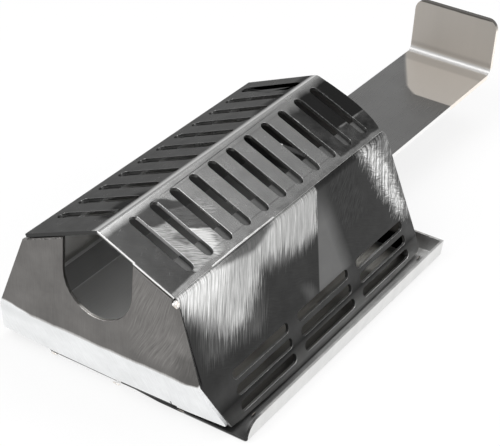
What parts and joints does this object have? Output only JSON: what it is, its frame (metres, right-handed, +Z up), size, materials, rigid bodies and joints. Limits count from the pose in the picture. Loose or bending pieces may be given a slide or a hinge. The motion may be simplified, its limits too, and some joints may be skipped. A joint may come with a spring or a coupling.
{
  "type": "smoker chip tray",
  "caption": "Gable-roofed sheet-steel smoke hood with slotted roof and walls on a lipped tray, and a chip pan that slides out on a long flat handle with a turned-up tab",
  "frame": {"origin": "middle of the bounding box in plan, on the underside of the tray", "axes": "+X along the hood towards the handle, +Y to the left seen from the loading mouth, +Z up"},
  "size_m": [0.383, 0.1634, 0.0977],
  "materials": {
    "hood_steel": "hand-brushed sheet steel with swirling scratches",
    "plate_steel": "sheet steel brushed up and down, slightly warm",
    "tray_steel": "bright brushed sheet steel",
    "pan_steel": "plain mill-finish sheet steel",
    "handle_steel": "smooth cold-rolled strip",
    "weld_steel": "dull weld metal with brown heat tint"
  },
  "bodies": {
    "housing": {"base_tray": "tray_steel", "roof_cap": "hood_steel", "side_wall_left": "hood_steel", "side_wall_right": "hood_steel", "near_end_plate": "plate_steel", "far_end_plate": "plate_steel", "near_corner_weld_left": "weld_steel", "near_corner_weld_right": "weld_steel", "far_corner_weld_left": "weld_steel", "far_corner_weld_right": "weld_steel", "near_gable_weld_left": "weld_steel", "near_gable_weld_right": "weld_steel", "far_gable_weld_left": "weld_steel", "far_gable_weld_right": "weld_steel", "eave_weld_right": "weld_steel", "roof_tack_1_left": "weld_steel", "roof_tack_1_right": "weld_steel", "roof_tack_2_left": "weld_steel", "roof_tack_2_right": "weld_steel", "roof_tack_3_left": "weld_steel", "roof_tack_3_right": "weld_steel", "roof_tack_4_left": "weld_steel", "roof_tack_4_right": "weld_steel", "near_floor_tack_1": "weld_steel", "near_floor_tack_2": "weld_steel", "near_floor_tack_3": "weld_steel", "side_floor_tack_1_left": "weld_steel", "side_floor_tack_1_right": "weld_steel", "side_floor_tack_2_left": "weld_steel", "side_floor_tack_2_right": "weld_steel"},
    "drawer": {"chip_pan": "pan_steel", "handle_strip": "handle_steel", "pan_tack_1_left": "weld_steel", "pan_tack_1_right": "weld_steel", "pan_tack_2_left": "weld_steel", "pan_tack_2_right": "weld_steel", "pan_tack_3_left": "weld_steel", "pan_tack_3_right": "weld_steel", "pan_tack_4_left": "weld_steel", "pan_tack_4_right": "weld_steel"}
  },
  "joints": [
    {"name": "pan_slide", "type": "slide", "parent": "housing", "child": "drawer", "axis": [1, 0, 0], "range_m": [0, 0.185]}
  ]
}
